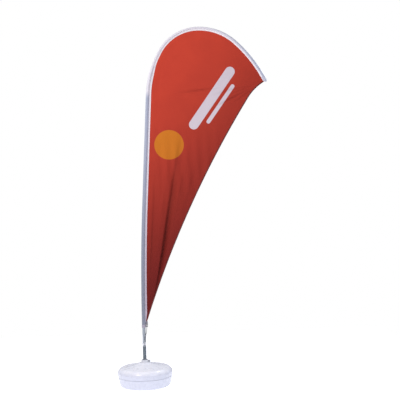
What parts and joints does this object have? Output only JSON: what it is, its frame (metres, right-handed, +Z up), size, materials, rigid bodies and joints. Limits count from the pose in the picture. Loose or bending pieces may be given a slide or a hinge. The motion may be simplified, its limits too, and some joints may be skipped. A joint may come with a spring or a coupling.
{
  "type": "teardrop flag",
  "caption": "Free-standing teardrop flag: a bent pole and fabric sail turning on a ball-bearing spindle in a round water-filled base.",
  "frame": {"origin": "middle of the base's underside, on the floor", "axes": "+Z up along the spindle; +X from the pole towards the flag's free edge; +Y across the flag's plane"},
  "size_m": [1.2932, 0.4498, 2.9041],
  "materials": {
    "base_plastic": "moulded, glossy",
    "water": "clear liquid",
    "white_plastic": "moulded, glossy",
    "black_plastic": "moulded, matt",
    "rubber": "matt",
    "nylon": "natural",
    "brass": "plain",
    "zinc_steel": "zinc plated",
    "spring_steel": "black oxide",
    "bearing_steel": "ground and polished",
    "aluminium": "satin anodised",
    "steel_fittings": "plain",
    "fibreglass": "pultruded, smooth",
    "white_fabric": "woven polyester",
    "red_fabric": "printed knitted polyester",
    "red_binding": "folded tape",
    "webbing": "woven webbing",
    "elastic": "braided cover over rubber"
  },
  "bodies": {
    "base": {"base_tank": "base_plastic", "ballast_water": "water", "socket_tube": "zinc_steel", "hub_collar": "white_plastic", "lock_insert": "brass"},
    "cap_seal": {"filler_washer": "rubber"},
    "cap": {"filler_cap": "white_plastic"},
    "lock_tip": {"lock_pad": "nylon"},
    "lock_screw": {"lock_stud": "zinc_steel", "lock_knob": "black_plastic"},
    "spindle": {"spindle_axle": "zinc_steel", "dust_washer": "nylon", "inner_spacer": "aluminium", "axle_clip": "spring_steel", "lower_inner_race": "bearing_steel", "upper_inner_race": "bearing_steel"},
    "lower_ball_ring": {"lower_balls": "bearing_steel", "lower_cage": "nylon"},
    "upper_ball_ring": {"upper_balls": "bearing_steel", "upper_cage": "nylon"},
    "rotor": {"rotor_tube": "zinc_steel", "rotor_clip": "spring_steel", "outer_spacer": "aluminium", "rotor_post": "zinc_steel", "lower_outer_race": "bearing_steel", "upper_outer_race": "bearing_steel"},
    "pole": {"pole_section_1": "aluminium", "pole_section_2": "aluminium", "pole_joiner": "aluminium", "reducer_bush": "nylon", "whip_lower": "fibreglass", "whip_ferrule": "steel_fittings", "whip_upper": "fibreglass", "whip_end_cap": "white_plastic", "pole_sleeve": "white_fabric", "sleeve_band": "white_fabric", "seam_strip": "white_fabric", "tip_pocket": "white_fabric", "sail": "red_fabric", "leech_hem": "red_binding", "corner_tab": "webbing", "corner_eyelet": "steel_fittings", "tension_hook": "white_plastic", "hook_rivet": "steel_fittings", "elastic_cord": "elastic", "elastic_knot": "elastic"}
  },
  "joints": [
    {"name": "spindle_lift", "type": "slide", "parent": "base", "child": "spindle", "axis": [0, 0, 1], "range_m": [0, 0.18]},
    {"name": "flag_spin", "type": "hinge", "parent": "spindle", "child": "rotor", "pos_m": [0, 0, 0.258], "axis": [0, 0, 1], "continuous": true},
    {"name": "lower_balls_roll", "type": "hinge", "parent": "spindle", "child": "lower_ball_ring", "pos_m": [0, 0, 0.2192], "axis": [0, 0, 1], "continuous": true},
    {"name": "upper_balls_roll", "type": "hinge", "parent": "spindle", "child": "upper_ball_ring", "pos_m": [0, 0, 0.2972], "axis": [0, 0, 1], "continuous": true},
    {"name": "pole_lift", "type": "slide", "parent": "rotor", "child": "pole", "axis": [0, 0, 1], "range_m": [0, 0.11]},
    {"name": "cap_lift", "type": "slide", "parent": "base", "child": "cap_seal", "axis": [0, 0, 1], "range_m": [0, 0.0121]},
    {"name": "cap_turn", "type": "hinge", "parent": "cap_seal", "child": "cap", "pos_m": [0.084, 0.022, 0.162], "axis": [0, 0, 1], "range_deg": [0, 1080]},
    {"name": "lock_travel", "type": "slide", "parent": "base", "child": "lock_tip", "axis": [1, 0, 0], "range_m": [0, 0.0051]},
    {"name": "lock_turn", "type": "hinge", "parent": "lock_tip", "child": "lock_screw", "pos_m": [0.03, 0, 0.199], "axis": [1, 0, 0], "range_deg": [0, 1440]}
  ],
  "couplings": [
    {"joint": "lower_balls_roll", "follows": "flag_spin", "ratio": 0.5889},
    {"joint": "upper_balls_roll", "follows": "flag_spin", "ratio": 0.5889},
    {"joint": "cap_lift", "follows": "cap_turn", "m_per_rad": 0.00063662},
    {"joint": "lock_travel", "follows": "lock_turn", "m_per_rad": 0.00019894}
  ]
}
